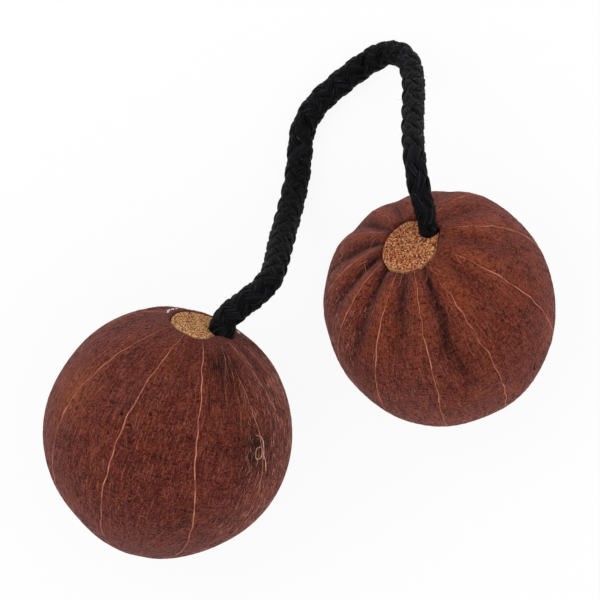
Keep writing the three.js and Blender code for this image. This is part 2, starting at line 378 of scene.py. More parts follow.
def round_grid(rows, columns):
    """The faces of a grid whose columns close into a ring."""
    here = np.arange(columns)
    beside = (here + 1) % columns
    faces = []
    for row in range(rows - 1):
        near, far = row * columns, (row + 1) * columns
        faces += np.stack((near + here, near + beside, far + beside, far + here), 1).tolist()
    return faces


def unit(vectors):
    return vectors / np.linalg.norm(vectors, axis=-1, keepdims=True)


def tube(line, up, half_width, half_height, sides, ridges=0):
    """An oval tube along a line, closed at both ends. Its height stands along up.

    Its sizes may change along it. Ridges run along it like the yarns of a strand.
    """
    along = unit(np.gradient(line, axis=0))
    side = unit(np.cross(along, up))
    up = np.cross(side, along)
    turn = 2 * np.pi * np.arange(sides) / sides
    ridge = 1 + YARN_DEPTH * np.cos(ridges * turn) if ridges else np.ones(sides)
    widths = np.broadcast_to(half_width, len(line))[:, None, None]
    heights = np.broadcast_to(half_height, len(line))[:, None, None]
    wide = widths * side[:, None, :] * (ridge * np.cos(turn))[None, :, None]
    high = heights * up[:, None, :] * (ridge * np.sin(turn))[None, :, None]
    vertices = (line[:, None, :] + wide + high).reshape(-1, 3)
    last = (len(line) - 1) * sides
    caps = [list(range(sides - 1, -1, -1)), list(range(last, last + sides))]
    return vertices, round_grid(len(line), sides), caps


def smooth_line(points, step):
    """A smooth curve through points, in equal steps: a centripetal Catmull-Rom curve."""
    points = np.asarray(points)
    ends = 2 * points[[0, -1]] - points[[1, -2]]
    points = np.concatenate((ends[:1], points, ends[1:]))
    samples = []
    for a, b, c, d in zip(points, points[1:], points[2:], points[3:]):
        pairs = ((a, b), (b, c), (c, d))
        knots = np.cumsum([0, *(np.linalg.norm(q - p) ** 0.5 for p, q in pairs)])
        t = np.linspace(knots[1], knots[2], CURVE_STEPS, endpoint=False)[:, None]

        def between(p, q, start, end):
            return ((end - t) * p + (t - start) * q) / (end - start)

        ab, bc, cd = (between(p, q, knots[i], knots[i + 1]) for i, (p, q) in enumerate(pairs))
        abc = between(ab, bc, knots[0], knots[2])
        bcd = between(bc, cd, knots[1], knots[3])
        samples.append(between(abc, bcd, knots[1], knots[2]))
    line = np.concatenate((*samples, points[-2:-1]))
    along = np.concatenate(([0], np.cumsum(np.linalg.norm(np.diff(line, axis=0), axis=1))))
    places = np.linspace(0, along[-1], round(along[-1] / step) + 1)
    return np.stack([np.interp(places, along, line[:, axis]) for axis in range(3)], 1)


def smoothstep(value, low, high):
    share = np.clip((value - low) / (high - low), 0, 1)
    return share * share * (3 - 2 * share)


# Shapes of the fruit


def furrow_shape(ball, angle):
    """From 0 on a vein to 1 midway between it and the next."""
    turns = turns_past_veins(ball, angle)
    behind = turns.min(-1)
    ahead = 360 - turns.max(-1)
    return np.sin(np.pi * behind / (behind + ahead)) ** 2


def turns_past_veins(ball, angle):
    return (np.asarray(angle)[..., None] - np.array([vein.middle for vein in ball.veins])) % 360


def furrow_values(ball, angle):
    """How strong the furrow at an angle is, and how far down it reaches."""
    nearest = turns_past_veins(ball, angle).argmin(-1)
    strengths = np.array([vein.furrow for vein in ball.veins])
    reaches = np.array([vein.reach for vein in ball.veins])
    return strengths[nearest], reaches[nearest]


def furrow_fade(polar):
    rising = FURROW_AT_LIP + (1 - FURROW_AT_LIP) * smoothstep(polar, 0, FURROW_DEEPEST)
    return rising * (1 - smoothstep(polar, FURROW_DEEPEST, FURROW_END))


def unevenness(ball, polar, angle):
    """The fruit's slight waves, lumps and flats, which leave its mouth round."""
    p, a = np.radians(polar), np.radians(angle)
    waves = np.sin(5 * a - 3.0 * p + 1.0) + 0.7 * np.sin(9 * a + 5.0 * p + 2.0)
    height = WAVE_HEIGHT * waves
    outward = spherical(1.0, polar, angle) @ ball.basis
    for turn, lump in ball.lumps:
        way = np.array((math.cos(math.radians(turn)), math.sin(math.radians(turn)), 0.0))
        height = height + lump * np.exp((outward @ way - 1) / LUMP_SPREAD)
    return height * smoothstep(polar, EVEN_UP_TO, UNEVEN_FROM)


def outer_radius(ball, polar, angle):
    tip = ball.tip_height * np.exp(-(((180 - polar) / TIP_SPREAD) ** 2))
    strength, _ = furrow_values(ball, angle)
    crease = 1 - np.sqrt((1 - furrow_shape(ball, angle) + CREASE_ROUNDING) / (1 + CREASE_ROUNDING))
    furrow = ball.furrow_depth * (0.2 + 0.8 * strength) * furrow_fade(polar) * crease
    return ball.radius + tip - furrow + unevenness(ball, polar, angle)


def furrow_painted_shade(ball, polar, angle):
    """How dark the painted shade and dirt in a furrow are: a wandering line in a soft painted shade."""
    drift = 2.0 * np.sin(np.radians(5 * polar + 2 * angle)) + 1.2 * np.sin(np.radians(13 * polar + 3 * angle))
    shape = furrow_shape(ball, angle + drift)
    strength, reach = furrow_values(ball, angle + drift)
    line = 0.6 * shape**7 + 0.4 * shape**2
    return line * strength * (1 - smoothstep(polar, 0.45 * reach, reach))


def rib_painted_highlight(ball, polar, angle):
    """How much painted highlight lies on a rib beside a vein near the mouth."""
    return (1 - furrow_shape(ball, angle)) * smoothstep(polar, 19, 28) * (1 - smoothstep(polar, 32, 70))


def mouth_edge(ball, angle):
    """The hand-cut mouth's distance from the stem axis: straight cuts with rounded corners."""
    turns, reaches = np.array(ball.mouth).T
    every = np.arange(360)
    cuts = np.interp(every, turns, reaches, period=360)
    window = 2 * MOUTH_ROUNDING + 1
    rounded = np.convolve(np.pad(cuts, MOUTH_ROUNDING, mode="wrap"), np.ones(window) / window, "valid")
    return MM * np.interp(angle, every, rounded, period=360)


def spherical(radius, polar, angle):
    p, a = np.radians(polar), np.radians(angle)
    return np.stack((radius * np.sin(p) * np.cos(a), radius * np.sin(p) * np.sin(a), radius * np.cos(p)), -1)


def add_shell(ball, material):
    angle = np.arange(SHELL_SEGMENTS) * 360 / SHELL_SEGMENTS
    lip_polar = np.degrees(np.arcsin((mouth_edge(ball, angle) + LIP_ROUNDING) / ball.radius))
    rows, polars = [], []

    for ring in range(SHELL_RINGS):
        polar = 180 + (lip_polar - 180) * (ring + 1) / SHELL_RINGS
        rows.append(spherical(outer_radius(ball, polar, angle), polar, angle))
        polars.append(polar)
    lip = rows[-1]
    lip_across = np.hypot(lip[:, 0], lip[:, 1])
    for step in range(1, LIP_STEPS + 1):
        turn = math.pi / 2 * step / LIP_STEPS
        across = lip_across - LIP_ROUNDING * math.sin(turn)
        height = lip[:, 2] - LIP_ROUNDING * (1 - math.cos(turn))
        rows.append(np.stack((across * lip[:, 0] / lip_across, across * lip[:, 1] / lip_across, height), -1))
        polars.append(lip_polar)
    inner_radius = ball.radius - SHELL_WALL
    inner_polar = np.degrees(np.arcsin(np.hypot(rows[-1][:, 0], rows[-1][:, 1]) / inner_radius))
    for ring in range(INNER_RINGS):
        polar = inner_polar + (180 - inner_polar) * ring / INNER_RINGS
        rows.append(spherical(inner_radius, polar, angle))
        polars.append(polar)

    polars = np.array(polars)
    tip_polar, tip_angle = np.array([180.0]), np.array([0.0])
    tip = spherical(outer_radius(ball, tip_polar, tip_angle), tip_polar, tip_angle)
    floor = np.array([(0.0, 0.0, -inner_radius)])
    vertices = np.concatenate((*rows, tip, floor))
    ring_count = len(rows)
    faces = round_grid(ring_count, SHELL_SEGMENTS)
    tip_index = ring_count * SHELL_SEGMENTS
    last_ring = tip_index - SHELL_SEGMENTS
    for here in range(SHELL_SEGMENTS):
        beside = (here + 1) % SHELL_SEGMENTS
        faces.append([tip_index, beside, here])
        faces.append([tip_index + 1, last_ring + here, last_ring + beside])

    all_polar = np.append(polars.ravel(), (180, 180))
    all_angle = np.append(np.tile(angle, ring_count), (0, 0))
    around = np.radians(all_angle)
    meridian = np.stack((np.cos(around), np.sin(around), np.radians(all_polar)), -1)
    parts = Parts()
    # The furrow attribute holds painted shade and dirt for the furrows, and the rib attribute painted
    # highlights on the ribs.
    parts.add(
        ball.to_frame(vertices),
        faces,
        meridian=meridian,
        furrow=furrow_painted_shade(ball, all_polar, all_angle),
        rib=rib_painted_highlight(ball, all_polar, all_angle),
        scar=mark_share(ball, vertices, *SMUDGE) + STAIN_STRENGTH * mark_share(ball, vertices, *STAIN),
        patch=mark_share(ball, vertices, *ORANGE_PATCH),
    )
    piece = parts.make(f"{ball.side}_shell_skin", material)
    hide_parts(f"{ball.side}_shell")
    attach(piece, ball.body)


def mark_share(ball, vertices, polar, angle, spread):
    """1 at the middle of a mark on the left fruit, and less away from it."""
    away = np.linalg.norm(vertices - spherical(left.radius, polar, angle), axis=-1)
    return np.exp(-((away / spread) ** 2)) * (ball is left)


def wander(length, size, waves):
    """A line's sideways wander, from 0 at its start: a few waves with chance heights and phases."""
    along = np.linspace(0, 1, length)
    total = np.zeros(length)
    for wave in range(1, waves + 1):
        total += chance.normal() / wave**0.5 * np.sin(2 * np.pi * wave * along + chance.uniform(0, 2 * np.pi))
    return size * (total - total[0])


def on_surface(ball, polar, angle, lift=0.0):
    return spherical(outer_radius(ball, polar, angle) + lift, polar, angle)


def surface_thread(ball, parts, polar, angle, half_width, half_height, sides=6, tapers=True):
    """A thread that lies half sunk in the fruit's surface, as a rule tapered to both ends."""
    line = on_surface(ball, polar, angle)
    taper = np.sqrt(np.sin(np.pi * np.linspace(0.02, 0.98, len(line)))) if tapers else np.ones(len(line))
    vertices, faces, caps = tube(line, unit(line), half_width * taper, half_height * taper, sides)
    parts.add(ball.to_frame(vertices), faces, caps)


def add_veins(ball, material):
    parts = Parts()
    mouth_polar = math.degrees(math.asin((ball.mouth_radius + LIP_ROUNDING) / ball.radius))
    for vein in ball.veins:
        polar = np.arange(mouth_polar, vein.end, VEIN_STEP)
        bend = np.interp(polar, VEIN_TURNS_AT, (vein.near, vein.middle, vein.far))
        window = 2 * VEIN_SMOOTHING + 1
        angle = np.convolve(np.pad(bend, VEIN_SMOOTHING, mode="edge"), np.ones(window) / window, "valid")
        angle += wander(len(polar), VEIN_WANDER, 18) / np.maximum(np.sin(np.radians(polar)), 0.3)
        width = vein.half_width * np.clip(1 + wander(len(polar), VEIN_WANDER, 16), 0.6, 1.5)
        surface_thread(ball, parts, polar, angle, width, 0.8 * width)
    piece = parts.make(f"{ball.side}_veins", material)
    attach(piece, ball.body)


def add_fibres(
    ball, name, material, count, polars, half_width, half_height,
    turns=ALL_ROUND, lengths=SHORT_FIBRE, slant=0.3,
):
    """Fine fibres of the skin, roughly along the meridians, in a range of polar angles and turns."""
    parts = Parts()
    share = np.linspace(0, 1, 7)
    for _ in range(count):
        start = chance.uniform(*polars)
        reach = chance.uniform(*lengths) / ball.radius
        lean = chance.normal(0, slant)
        across = np.sin(np.radians(start))
        polar = start + np.degrees(reach * math.cos(lean)) * share
        angle = chance.uniform(*turns) + np.degrees(reach * math.sin(lean)) / across * share
        angle += wander(len(share), 0.2, 2) / across
        surface_thread(ball, parts, polar, angle, half_width * chance.uniform(0.6, 1.3), half_height, sides=4)
    piece = parts.make(f"{ball.side}_{name}", material)
    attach(piece, ball.body)


def add_scar(material):
    """The ring of the scar, and the bone-coloured fibres that hook past it."""
    parts = Parts()
    turn = np.linspace(0, 2 * np.pi, 41)
    ring_polar = SCAR_POLAR + SCAR_RING[0] * np.sin(turn) + 0.35 * np.sin(3 * turn + 0.5)
    ring_angle = SCAR_ANGLE + SCAR_RING[1] * np.cos(turn)
    surface_thread(left, parts, ring_polar, ring_angle, 0.06 * MM, 0.14 * MM, tapers=False)
    for downs, turns in (
        ((-8.3, -7.4, -5.0, -1.0, 3.5), (-2.6, 1.2, 2.6, 3.3, 3.3)),
        ((1.5, 4.5, 9.0), (3.8, 5.4, 6.6)),
    ):
        polar = SCAR_POLAR + np.linspace(downs[0], downs[-1], 40)
        angle = SCAR_ANGLE + np.interp(polar - SCAR_POLAR, downs, turns)
        surface_thread(left, parts, polar, angle, 0.11 * MM, 0.2 * MM)
    piece = parts.make("left_scar", material)
    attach(piece, "left_ball")


def add_crack(material):
    """A short dark crack on the right fruit."""
    parts = Parts()
    along = np.linspace(-1, 1, 15)
    polar = CRACK_POLAR + CRACK_LENGTH * along
    angle = CRACK_ANGLE + 1.5 * along**2
    surface_thread(right, parts, polar, angle, 0.4 * MM, 0.06 * MM)
    piece = parts.make("right_crack", material)
    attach(piece, "right_ball")


# Corks


def add_cork(ball, material):
    """A plug with a rough face of pressed grains and a notch for the cord, closed all round."""
    angle = np.arange(CORK_SEGMENTS) * 360 / CORK_SEGMENTS
    wide = mouth_edge(ball, angle) - CLEARANCE
    share = np.linspace(0, 1, CORK_RINGS + 1)[1:, None]
    across = share * wide
    turn = np.radians(angle)
    top = ball.mouth_height + ball.cork_proud
    edge_drop = CORK_EDGE_DROP * smoothstep(share, CORK_EDGE_FROM, 1.0)
    height = np.broadcast_to(top + CORK_CROWN * (1 - share**2) - edge_drop, across.shape)
    grid = np.stack((across * np.cos(turn), across * np.sin(turn), height), -1).reshape(-1, 3)
    centre = np.array([(0.0, 0.0, top + CORK_CROWN)])
    points = np.concatenate((grid, centre))
    faces = round_grid(CORK_RINGS, CORK_SEGMENTS)
    faces += [[len(grid), here, (here + 1) % CORK_SEGMENTS] for here in range(CORK_SEGMENTS)]

    cord_place = ball.cord_offset * ball.cord_way[:2]
    away = points[:, :2] - cord_place
    reach = np.linalg.norm(away, axis=1) / ball.notch_radius
    inside = reach < 1
    points[inside, :2] = cord_place + away[inside] / np.maximum(reach[inside], 1e-9)[:, None]
    faces = [face for face in faces if not all(inside[corner] for corner in face)]

    form = bmesh.new()
    corners = [form.verts.new(point) for point in points]
    for face in faces:
        form.faces.new([corners[i] for i in face])
    bmesh.ops.delete(form, geom=[v for v in form.verts if not v.link_faces], context="VERTS")
    face_points = list(form.verts)
    lower = bmesh.ops.extrude_face_region(form, geom=form.faces[:])
    shrink = 1 - CORK_TAPER / ball.mouth_radius
    for vertex in (v for v in lower["geom"] if isinstance(v, bmesh.types.BMVert)):
        vertex.co = Vector((vertex.co.x * shrink, vertex.co.y * shrink, top - CORK_LENGTH))
    for vertex in face_points:
        far, _ = noise.voronoi(vertex.co / CORK_GRAIN)
        vertex.co.z += CORK_ROUGHNESS * (min(far[1] - far[0], 0.8) - 0.5)
    bmesh.ops.recalc_face_normals(form, faces=form.faces[:])
    for face in form.faces:
        face.smooth = True
    mesh = bpy.data.meshes.new(f"{ball.side}_cork_plug")
    form.to_mesh(mesh)
    form.free()
    places = np.array([v.co for v in mesh.vertices])
    turns = np.degrees(np.arctan2(places[:, 1], places[:, 0]))
    rim = np.hypot(places[:, 0], places[:, 1]) / mouth_edge(ball, turns)
    mesh.vertices.foreach_set("co", ball.to_frame(places).ravel())
    mesh.update()
    add_attribute(mesh, "rim", rim)
    piece = new_piece(f"{ball.side}_cork_plug", mesh, material)
    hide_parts(f"{ball.side}_cork")
    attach(piece, ball.body)


def add_glue(material):
    """Flakes of dry glue that squeezed out of the left mouth."""
    parts = Parts()
    for polar, angle, size in GLUE_FLAKES:
        down = np.linspace(polar - size, polar + size, 7)
        round_mouth = np.linspace(angle - 2, angle + 2, 7)
        line = on_surface(left, down, round_mouth, GLUE_LIFT)
        swell = np.sin(np.pi * np.linspace(0.06, 0.94, 7)) * (1 + 0.3 * chance.normal(size=7))
        vertices, faces, caps = tube(line, unit(line), 0.75 * size * MM * swell, 0.5 * size * MM * swell, 10)
        parts.add(left.to_frame(vertices), faces, caps)
    piece = parts.make("left_glue", material)
    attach(piece, "left_ball")


# Cord


def exit_lean(ball):
    return CORD_DIAMETER / 2 * ball.cord_offset / ball.radius


def exit_height(ball):
    return math.sqrt(ball.radius**2 - ball.cord_offset**2) - exit_lean(ball)


def cord_line_point(ball, height):
    return ball.cord_offset * ball.cord_way + (0, 0, height)


def carried_frames(line):
    """Two directions across a line at each point, carried along it without twist."""
    along = unit(np.gradient(line, axis=0))
    first = np.cross(along[0], (0.0, 0.0, 1.0))
    across = [unit(first)]
    for direction in along[1:]:
        across.append(unit(across[-1] - direction * (across[-1] @ direction)))
    across = np.array(across)
    return across, np.cross(along, across)


def braid_parts(line, turns, swell):
    """The strands of a braid round a line, and the core that they cover. Turns counts the pitches passed."""
    across, beyond = carried_frames(line)
    along_mm = np.arange(len(line)) * BRAID_STEP / MM
    parts = Parts()
    for hand in (1, -1):
        for strand in range(STRANDS_EACH_WAY):
            turn = 2 * np.pi * (hand * turns + strand / STRANDS_EACH_WAY)
            out = np.cos(turn)[:, None] * across + np.sin(turn)[:, None] * beyond
            crossing = hand * np.cos(2 * np.pi * turns * STRANDS_EACH_WAY)
            middle = line + (swell * (BRAID_RADIUS + CROSSING_HEIGHT * crossing))[:, None] * out
            half_width, half_height = swell * STRAND_HALF_WIDTH, swell * STRAND_HALF_HEIGHT
            vertices, faces, caps = tube(middle, out, half_width, half_height, STRAND_SIDES, YARNS_IN_STRAND)
            strand_number = strand + STRANDS_EACH_WAY * (hand > 0)
            parts.add(vertices, faces, caps, strand=strand_map(along_mm, STRAND_SIDES, strand_number))
    vertices, faces, caps = tube(line, across, swell * CORE_RADIUS, swell * CORE_RADIUS, STRAND_SIDES)
    parts.add(vertices, faces, caps, strand=strand_map(along_mm, STRAND_SIDES, 2 * STRANDS_EACH_WAY))
    return parts, across, beyond


def strand_map(along_mm, sides, number):
    """For each vertex of a strand: millimetres along it, its turn round it, and the strand's own number."""
    turn = np.tile(np.arange(sides) / sides, len(along_mm))
    return np.stack((np.repeat(along_mm, sides), np.cos(2 * np.pi * turn), np.full(len(turn), number)), -1)


def add_hairs(parts, line, across, beyond, count):
    """Short stray hairs that stand off the braid, apart from those that would go through the table."""
    for _ in range(count):
        place = chance.integers(8, len(line) - 8)
        turn = chance.uniform(0, 2 * np.pi)
        out = math.cos(turn) * across[place] + math.sin(turn) * beyond[place]
        forward = unit(line[place + 1] - line[place - 1])
        forwards, sideways = chance.normal(0, 0.7), chance.normal(0, 0.4)
        lean = unit(0.5 * out + forwards * forward + sideways * np.cross(out, forward))
        length = chance.uniform(0.6, 1.5) * MM
        share = np.linspace(0, 1, HAIR_POINTS)[:, None]
        hair = line[place] + HAIR_FOOT * out + length * (share * lean + HAIR_CURL * share**2 * out)
        thin = np.linspace(0.035, 0.012, HAIR_POINTS) * MM
        if hair[:, 2].min() < thin[0]:
            continue
        side = np.broadcast_to(unit(np.cross(forward, out)), hair.shape)
        vertices, faces, caps = tube(hair, side, thin, thin, 3)
        parts.add(vertices, faces, caps, slot=1, strand=np.zeros((len(vertices), 3)))


def knot_line(ball, top_height):
    """The cord inside the fruit: past the cork, hooked outwards and wound back round itself."""
    pitch = CORD_DIAMETER + 2 * CLEARANCE
    knot_top = ball.mouth_height + CORK_PROUD - CORK_LENGTH - KNOT_BELOW_CORK
    knot_bottom = knot_top - KNOT_TURNS * pitch
    axis = cord_line_point(ball, 0.0)
    points = [axis + (0, 0, height) for height in np.linspace(top_height, knot_bottom, 6)]
    for share in np.linspace(0.2, 1, 5):
        turn = math.radians(HOOK_TURN * share)
        out = pitch * math.sin(math.pi / 2 * share)
        drop = HOOK_DROP * math.sin(math.pi * share)
        points.append(axis + (out * math.cos(turn), out * math.sin(turn), knot_bottom - drop))
    for turns in np.linspace(0.1, KNOT_TURNS, 10 * KNOT_TURNS):
        turn = math.radians(HOOK_TURN + 360 * turns)
        points.append(axis + (pitch * math.cos(turn), pitch * math.sin(turn), knot_bottom + pitch * turns))
    return points


def add_knot(ball, material, hair_material):
    line = smooth_line(ball.to_frame(knot_line(ball, exit_height(ball) - CORD_INTO_MOUTH)), BRAID_STEP)
    passed = np.arange(len(line)) * BRAID_STEP
    swell = 0.78 + 0.12 * smoothstep(passed, CORK_LENGTH - KNOT_SWELL_OVER, CORK_LENGTH)
    parts, _, _ = braid_parts(line, passed / LEFT_BRAID_PITCH, swell)
    piece = parts.make(f"{ball.side}_knot_braid", material, hair_material)
    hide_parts(f"{ball.side}_stopper_knot")
    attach(piece, ball.body)


def add_cord(material, hair_material):
    """The free cord, in two pieces that meet on the left leg: a piece can bend across one joint only."""
    left_height = exit_height(left)
    left_pivot = left.to_frame(cord_line_point(left, left_height + CORD_DIAMETER / 2 + CLEARANCE))
    right_height = exit_height(right) + exit_lean(right) + CLEARANCE
    right_start = right.to_frame(cord_line_point(right, right_height))
    right_out = unit(right_start - right.centre)
    right_end = right_start - RIGHT_CORD_INTO_MOUTH * right_out
    points = np.concatenate((
        [left.to_frame(cord_line_point(left, left_height - CORD_INTO_MOUTH))],
        [left.to_frame(cord_line_point(left, left_height))],
        [left_pivot],
        LEFT_ROUTE,
        [LOOP_BEND],
        RIGHT_ROUTE,
        [right_start + right_out * CORD_DIAMETER / 2, right_start, right_end],
    ))
    line = smooth_line(points, BRAID_STEP)
    share = np.linspace(0, 1, len(line))
    pitch = LEFT_BRAID_PITCH + (RIGHT_BRAID_PITCH - LEFT_BRAID_PITCH) * smoothstep(share, 0.5, 0.75)
    turns = np.cumsum(BRAID_STEP / pitch)
    swell = np.interp(share, SWELL_PLACES, SWELL_SIZES)
    meet = int(np.argmin(np.linalg.norm(line - PIECES_MEET_AT, axis=1)))

    swing_way = unit(LEFT_ROUTE[1] - left_pivot)
    bend_way = unit(LOOP_WAY)
    for name, cut, bodies, start, end, node, exit_point, way in (
        (
            "cord_left_braid",
            slice(0, meet + 1),
            ("left_ball", "cord_left"),
            left_pivot - SWING_BLEND[0] * swing_way,
            left_pivot + SWING_BLEND[1] * swing_way,
            "cord_left",
            left_pivot,
            1,
        ),
        (
            "cord_right_braid",
            slice(meet, None),
            ("cord_left", "cord_right"),
            LOOP_BEND - BEND_BLEND[0] * bend_way,
            LOOP_BEND + BEND_BLEND[1] * bend_way,
            "cord_right",
            right_start,
            -1,
        ),
    ):
        stretch = line[cut]
        parts, across, beyond = braid_parts(stretch, turns[cut], swell[cut])
        add_hairs(parts, stretch, across, beyond, round(HAIR_COUNT * len(stretch) / len(line)))
        piece = parts.make(name, material, hair_material)
        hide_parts(node)
        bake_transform(piece, *bodies, start=start, end=end)


# Materials


class Look:
    """A material's node tree, with a short call for each kind of node that the looks need."""

    def __init__(self, name, roughness, sheen=0.0, sheen_tint=(1, 1, 1, 1), specular=0.5):
        self.material = bpy.data.materials.new(name)
        self.material.use_nodes = True
        self.nodes = self.material.node_tree.nodes
        self.links = self.material.node_tree.links
        self.shader = self.nodes["Principled BSDF"]
        self.shader.inputs["Roughness"].default_value = roughness
        self.shader.inputs["Specular IOR Level"].default_value = specular
        self.shader.inputs["Sheen Weight"].default_value = sheen
        self.shader.inputs["Sheen Roughness"].default_value = 0.3
        self.shader.inputs["Sheen Tint"].default_value = sheen_tint

    def set(self, socket, value):
        if isinstance(value, bpy.types.NodeSocket):
            self.links.new(value, socket)
        else:
            socket.default_value = value

    def add(self, kind, output, settings=None, **inputs):
        node = self.nodes.new(kind)
        for key, value in (settings or {}).items():
            setattr(node, key, value)
        for key, value in inputs.items():
            self.set(node.inputs[key.replace("_", " ")], value)
        return node.outputs[output]

    def place_mm(self):
        """Where a point is on the object, in millimetres."""
        return self.scaled(self.add("ShaderNodeTexCoord", "Object"), 1000, 1000, 1000)

    def attribute(self, name, output="Vector"):
        return self.add("ShaderNodeAttribute", output, {"attribute_name": name})

    def scaled(self, vector, *scale):
        node = self.nodes.new("ShaderNodeVectorMath")
        node.operation = "MULTIPLY"
        self.set(node.inputs[0], vector)
        node.inputs[1].default_value = scale
        return node.outputs[0]

    def noise(self, vector, scale=1.0, detail=3.0, roughness=0.55, distortion=0.0):
        settings = {"Scale": scale, "Detail": detail, "Roughness": roughness, "Distortion": distortion}
        return self.add("ShaderNodeTexNoise", "Fac", Vector=vector, **settings)

    def voronoi(self, vector, scale, feature="F1", output="Distance"):
        return self.add("ShaderNodeTexVoronoi", output, {"feature": feature}, Vector=vector, Scale=scale)

    def between(self, value, low, high):
        """0 at low, 1 at high and smooth in between."""
        smooth = {"interpolation_type": "SMOOTHSTEP"}
        return self.add("ShaderNodeMapRange", "Result", smooth, Value=value, From_Min=low, From_Max=high)

    def math(self, operation, first, second):
        node = self.nodes.new("ShaderNodeMath")
        node.operation = operation
        self.set(node.inputs[0], first)
        self.set(node.inputs[1], second)
        return node.outputs[0]

    def mix(self, share, first, second):
        node = self.nodes.new("ShaderNodeMix")
        node.data_type = "RGBA"
        self.set(node.inputs["Factor"], share)
        self.set(node.inputs[6], first)
        self.set(node.inputs[7], second)
        return node.outputs[2]

    def laid(self, colour, second, where, amount):
        """A colour with a second one laid over it, by a field from 0 to 1 and an amount of it."""
        return self.mix(self.math("MULTIPLY", where, amount), colour, second)

    def colour(self, value):
        self.set(self.shader.inputs["Base Color"], value)

    def bump(self, *layers):
        """Layers of height, each with its depth in metres, one over the other."""
        normal = None
        for height, depth in layers:
            node = self.nodes.new("ShaderNodeBump")
            node.inputs["Distance"].default_value = depth
            self.set(node.inputs["Height"], height)
            if normal:
                self.set(node.inputs["Normal"], normal)
            normal = node.outputs["Normal"]
        self.set(self.shader.inputs["Normal"], normal)


def shell_look(name, brown, dark, warm, furrow_shade_colour, furrow_strength):
    """Dry fruit skin: mottled brown, fibres along the meridians, dark dashes across them, painted shade and
    dirt in the furrows and painted highlights on the ribs near the mouth.
    """
    look = Look(name, roughness=0.6, sheen=0.4, sheen_tint=srgb(222, 166, 164), specular=0.02)
    place = look.place_mm()
    meridian = look.attribute("meridian")

    patches = look.between(look.noise(place, 0.085, 2), 0.45, 0.75)
    cool_patches = look.between(look.noise(place, 0.06, 1), 0.5, 0.3)
    blotches = look.between(look.noise(place, 0.3, 5, 0.7), 0.4, 0.64)
    streaks = look.noise(look.scaled(meridian, 40, 40, 6), 1.0, 4, 0.7)
    fibres = look.noise(look.scaled(meridian, 85, 85, 9), 1.0, 3, 0.6, 0.8)
    dash_field = look.noise(look.scaled(meridian, 17, 17, 50), 1.0, 3, 0.65, 0.5)
    long_dashes = look.noise(look.scaled(meridian, 6, 6, 26), 1.0, 4, 0.7, 0.6)
    grain = look.noise(place, 2.0, 2, 0.6)

    shadow = srgb(34, 14, 12)
    pale = srgb(158, 92, 74)
    colour = look.laid(brown, dark, blotches, 0.55)
    colour = look.laid(colour, warm, patches, 0.4)
    colour = look.laid(colour, srgb(100, 52, 48), cool_patches, 0.5)
    colour = look.laid(colour, srgb(150, 80, 50), look.attribute("patch", "Fac"), 0.7)
    # Painted highlight on the ribs beside the veins near the mouth.
    colour = look.laid(colour, warm, look.attribute("rib", "Fac"), 0.7 * furrow_strength)
    colour = look.laid(colour, shadow, look.between(streaks, 0.52, 0.7), 0.55)
    colour = look.laid(colour, shadow, look.between(long_dashes, 0.5, 0.68), 0.5)
    colour = look.laid(colour, shadow, look.between(dash_field, 0.56, 0.65), 0.9)
    colour = look.laid(colour, shadow, look.between(grain, 0.52, 0.7), 0.6)
    colour = look.laid(colour, pale, look.between(grain, 0.46, 0.3), 0.45)
    colour = look.laid(colour, pale, look.between(fibres, 0.55, 0.68), 0.55)
    colour = look.laid(colour, shadow, look.between(fibres, 0.42, 0.3), 0.6)

    # Painted shade and dirt along the furrows, made ragged by noise.
    rags = look.noise(place, 0.8, 4, 0.7)
    ranges = {"From_Min": 0.3, "From_Max": 0.7, "To_Min": 0.3, "To_Max": 1.5}
    ragged = look.add("ShaderNodeMapRange", "Result", Value=rags, **ranges)
    furrow = look.math("MULTIPLY", look.attribute("furrow", "Fac"), ragged)
    colour = look.laid(colour, furrow_shade_colour, furrow, furrow_strength)
    smudges = look.between(look.noise(place, 0.9, 3), 0.3, 0.55)
    scar = look.math("MULTIPLY", look.attribute("scar", "Fac"), smudges)
    colour = look.laid(colour, srgb(26, 17, 13), scar, 0.95)
    look.colour(colour)
    look.bump((dash_field, 0.3 * MM), (grain, 0.4 * MM), (fibres, 0.2 * MM))
    return look.material


def vein_look(name, pale, shade):
    look = Look(name, roughness=0.7, sheen=0.3, sheen_tint=pale, specular=0.05)
    place = look.place_mm()
    change = look.noise(place, 0.35, 3)
    look.colour(look.mix(look.between(change, 0.35, 0.7), pale, shade))
    look.bump((look.noise(place, 3.0, 2), 0.05 * MM))
    return look.material


def cork_look(name, dark_grain, pale_grain):
    """Pressed cork: fine grains from dark brown to cream, a paler cut edge and dark gaps between grains."""
    look = Look(name, roughness=0.85, specular=0.05)
    place = look.place_mm()
    grain = look.add("ShaderNodeSeparateColor", "Red", Color=look.voronoi(place, 3.5, output="Color"))
    flakes = look.add("ShaderNodeSeparateColor", "Green", Color=look.voronoi(place, 3.7, output="Color"))
    gaps = look.voronoi(place, 3.5, feature="DISTANCE_TO_EDGE")
    colour = look.mix(look.between(grain, 0.15, 0.6), dark_grain, pale_grain)
    colour = look.mix(look.between(flakes, 0.84, 0.9), colour, srgb(255, 212, 164))
    colour = look.mix(look.between(flakes, 0.22, 0.14), colour, srgb(84, 36, 18))
    colour = look.mix(look.between(gaps, 0.14, 0.02), colour, srgb(84, 36, 19))
    edge = look.between(look.attribute("rim", "Fac"), 0.93, 0.98)
    colour = look.laid(colour, srgb(255, 188, 128), edge, 0.4)
    look.colour(colour)
    look.bump((gaps, 0.3 * MM), (grain, 0.2 * MM))
    return look.material


